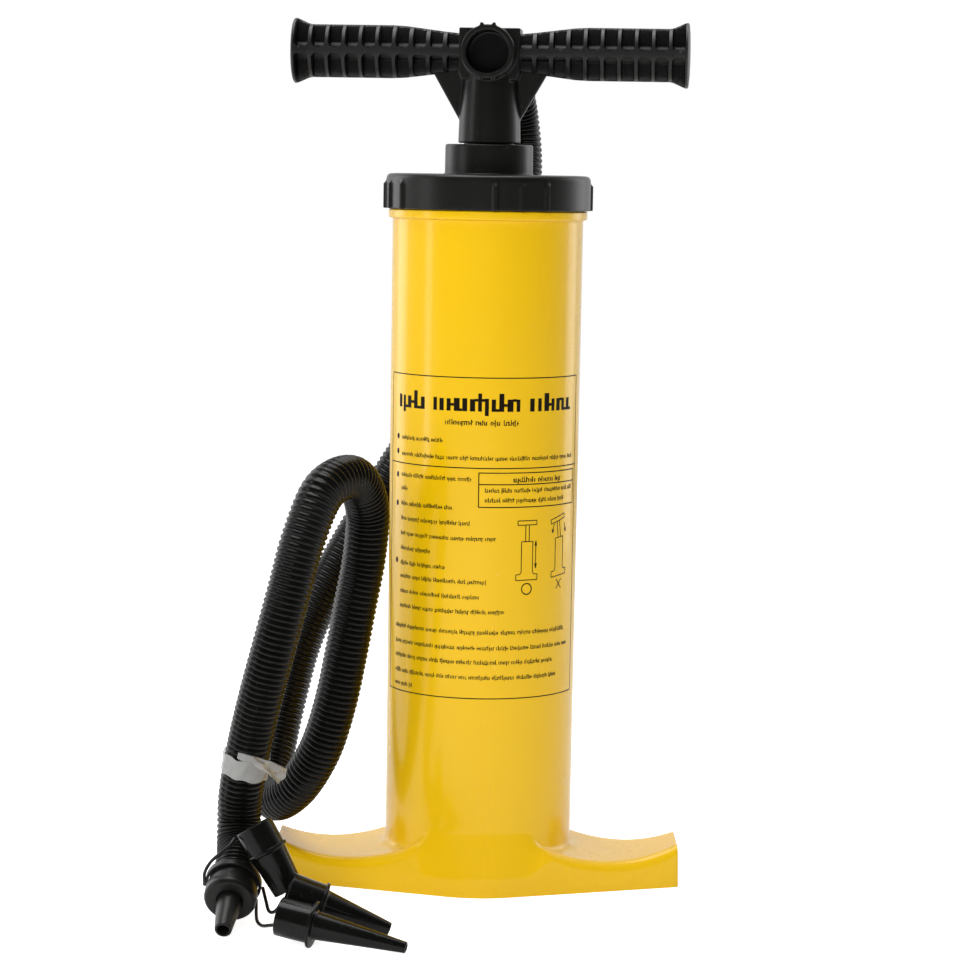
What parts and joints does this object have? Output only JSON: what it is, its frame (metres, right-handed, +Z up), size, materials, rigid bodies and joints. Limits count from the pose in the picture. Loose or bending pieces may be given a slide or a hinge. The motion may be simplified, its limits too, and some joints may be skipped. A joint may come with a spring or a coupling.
{
  "type": "double-action piston hand pump",
  "caption": "Upright piston air pump with foot plates, a T-handle with two ports, a corrugated hose and slip-on nozzle adapters",
  "frame": {"origin": "on the floor under the barrel's axis", "axes": "+Z up along the piston rod, X along the feet, -Y to the printed front"},
  "size_m": [0.2561, 0.2973, 0.4796],
  "materials": {
    "yellow_plastic": "glossy moulded",
    "black_plastic": "satin moulded",
    "hose_plastic": "satin corrugated",
    "seal_rubber": "matte",
    "bush_plastic": "natural acetal",
    "piston_plastic": "satin moulded",
    "clear_film": "clear film",
    "screw_steel": "zinc plated"
  },
  "bodies": {
    "barrel": {"barrel": "yellow_plastic", "foot_base": "yellow_plastic", "hose": "hose_plastic", "hose_cuff": "black_plastic", "nozzle_fitted": "black_plastic", "keeper_ring": "black_plastic", "nozzle_wide": "black_plastic", "nozzle_long": "black_plastic", "nozzle_cone": "black_plastic", "lanyard_wide": "black_plastic", "lanyard_long": "black_plastic", "lanyard_cone": "black_plastic", "tie_band": "clear_film"},
    "cap": {"cap": "black_plastic", "cap_gasket": "seal_rubber", "rod_bush": "bush_plastic", "rod_seal": "seal_rubber", "guide_retainer": "black_plastic"},
    "handle": {"piston_rod": "black_plastic", "air_tube": "black_plastic", "piston_crown": "piston_plastic", "piston_middle_plate": "piston_plastic", "piston_floor": "piston_plastic", "piston_seal_upper": "seal_rubber", "piston_seal_lower": "seal_rubber", "piston_screw_1": "screw_steel", "piston_screw_2": "screw_steel", "piston_screw_3": "screw_steel", "piston_screw_4": "screw_steel", "valve_pin_intake_top": "piston_plastic", "valve_pin_intake_bottom": "piston_plastic", "valve_pin_delivery_top": "piston_plastic", "valve_pin_delivery_bottom": "piston_plastic", "handle_hub": "black_plastic", "grip_left": "black_plastic", "grip_right": "black_plastic", "hose_connector": "black_plastic"},
    "intake_valve_top": {"valve_intake_top": "seal_rubber"},
    "intake_valve_bottom": {"valve_intake_bottom": "seal_rubber"},
    "delivery_valve_top": {"valve_delivery_top": "seal_rubber"},
    "delivery_valve_bottom": {"valve_delivery_bottom": "seal_rubber"}
  },
  "joints": [
    {"name": "handle_slide", "type": "slide", "parent": "barrel", "child": "handle", "axis": [0, 0, 1], "range_m": [0, 0.26]},
    {"name": "cap_turn", "type": "hinge", "parent": "barrel", "child": "cap", "pos_m": [0, 0, 0.385], "axis": [0, 0, 1], "range_deg": [0, 90]},
    {"name": "intake_top_lift", "type": "slide", "parent": "handle", "child": "intake_valve_top", "axis": [0, 0, 1], "range_m": [0, 0.0015], "stiffness_N_per_m": 30},
    {"name": "intake_bottom_lift", "type": "slide", "parent": "handle", "child": "intake_valve_bottom", "axis": [0, 0, -1], "range_m": [0, 0.0015], "stiffness_N_per_m": 30},
    {"name": "delivery_top_lift", "type": "slide", "parent": "handle", "child": "delivery_valve_top", "axis": [0, 0, -1], "range_m": [0, 0.0015], "stiffness_N_per_m": 30},
    {"name": "delivery_bottom_lift", "type": "slide", "parent": "handle", "child": "delivery_valve_bottom", "axis": [0, 0, 1], "range_m": [0, 0.0015], "stiffness_N_per_m": 30}
  ]
}
